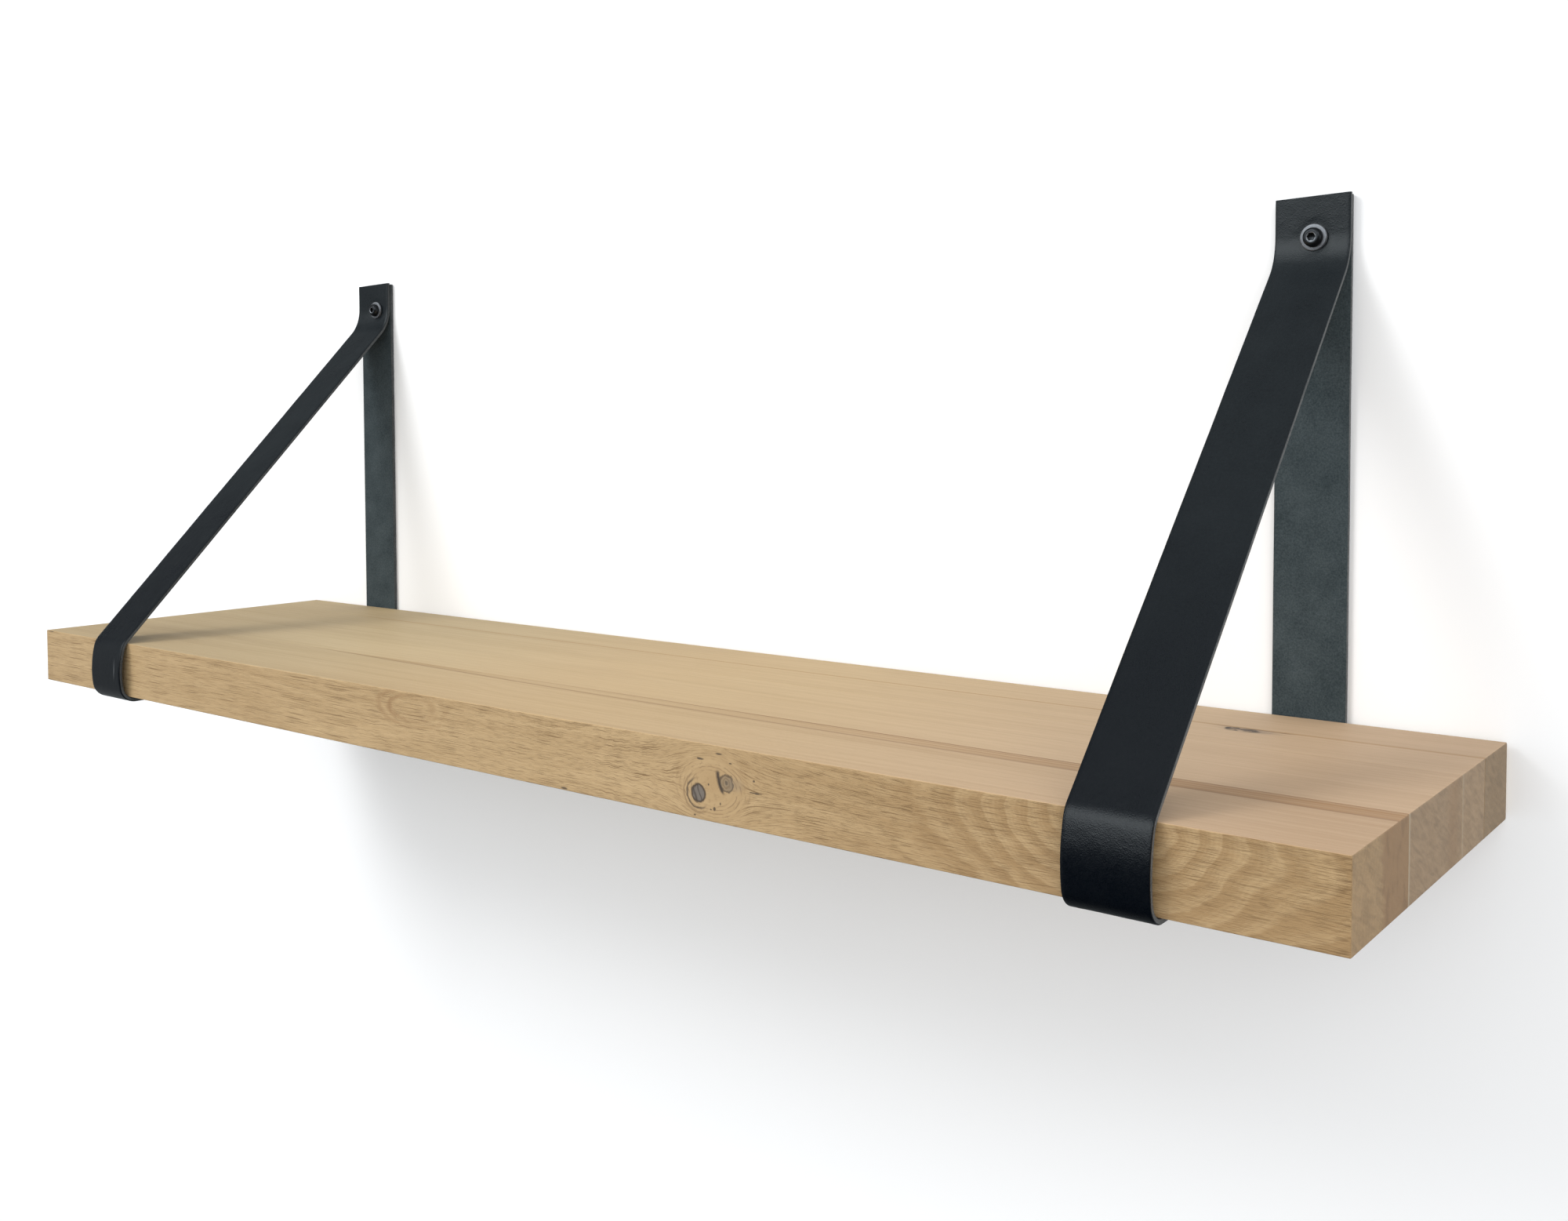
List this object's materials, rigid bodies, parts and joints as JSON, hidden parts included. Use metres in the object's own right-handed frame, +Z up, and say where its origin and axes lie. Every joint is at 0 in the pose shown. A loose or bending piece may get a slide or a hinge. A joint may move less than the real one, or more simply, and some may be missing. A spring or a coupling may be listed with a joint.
{
  "type": "wall shelf",
  "caption": "Solid oak wall shelf hung in black leather loop straps, each fixed to the wall by a screw and washer.",
  "frame": {"origin": "on the wall's surface, midway between the two wall screws", "axes": "+X along the board to its right end as seen from the room, +Y into the wall, +Z up"},
  "size_m": [1, 0.2973, 0.3211],
  "materials": {
    "oak": "oiled solid oak, edge-glued staves, sanded smooth",
    "black_leather": "black satin grain side, black flesh side, raw cut edges",
    "black_steel": "black satin coated steel",
    "grey_nylon": "moulded grey nylon"
  },
  "bodies": {
    "hangers": {"strap_left": "black_leather", "washer_left": "black_steel", "screw_left": "black_steel", "wall_plug_left": "grey_nylon", "strap_right": "black_leather", "washer_right": "black_steel", "screw_right": "black_steel", "wall_plug_right": "grey_nylon"},
    "board": {"stave_front": "oak", "stave_mid_front": "oak", "stave_mid_back": "oak", "stave_back": "oak"}
  },
  "joints": [
    {"name": "board_slide", "type": "slide", "parent": "hangers", "child": "board", "axis": [1, 0, 0], "range_m": [-0.075, 0.075]}
  ]
}
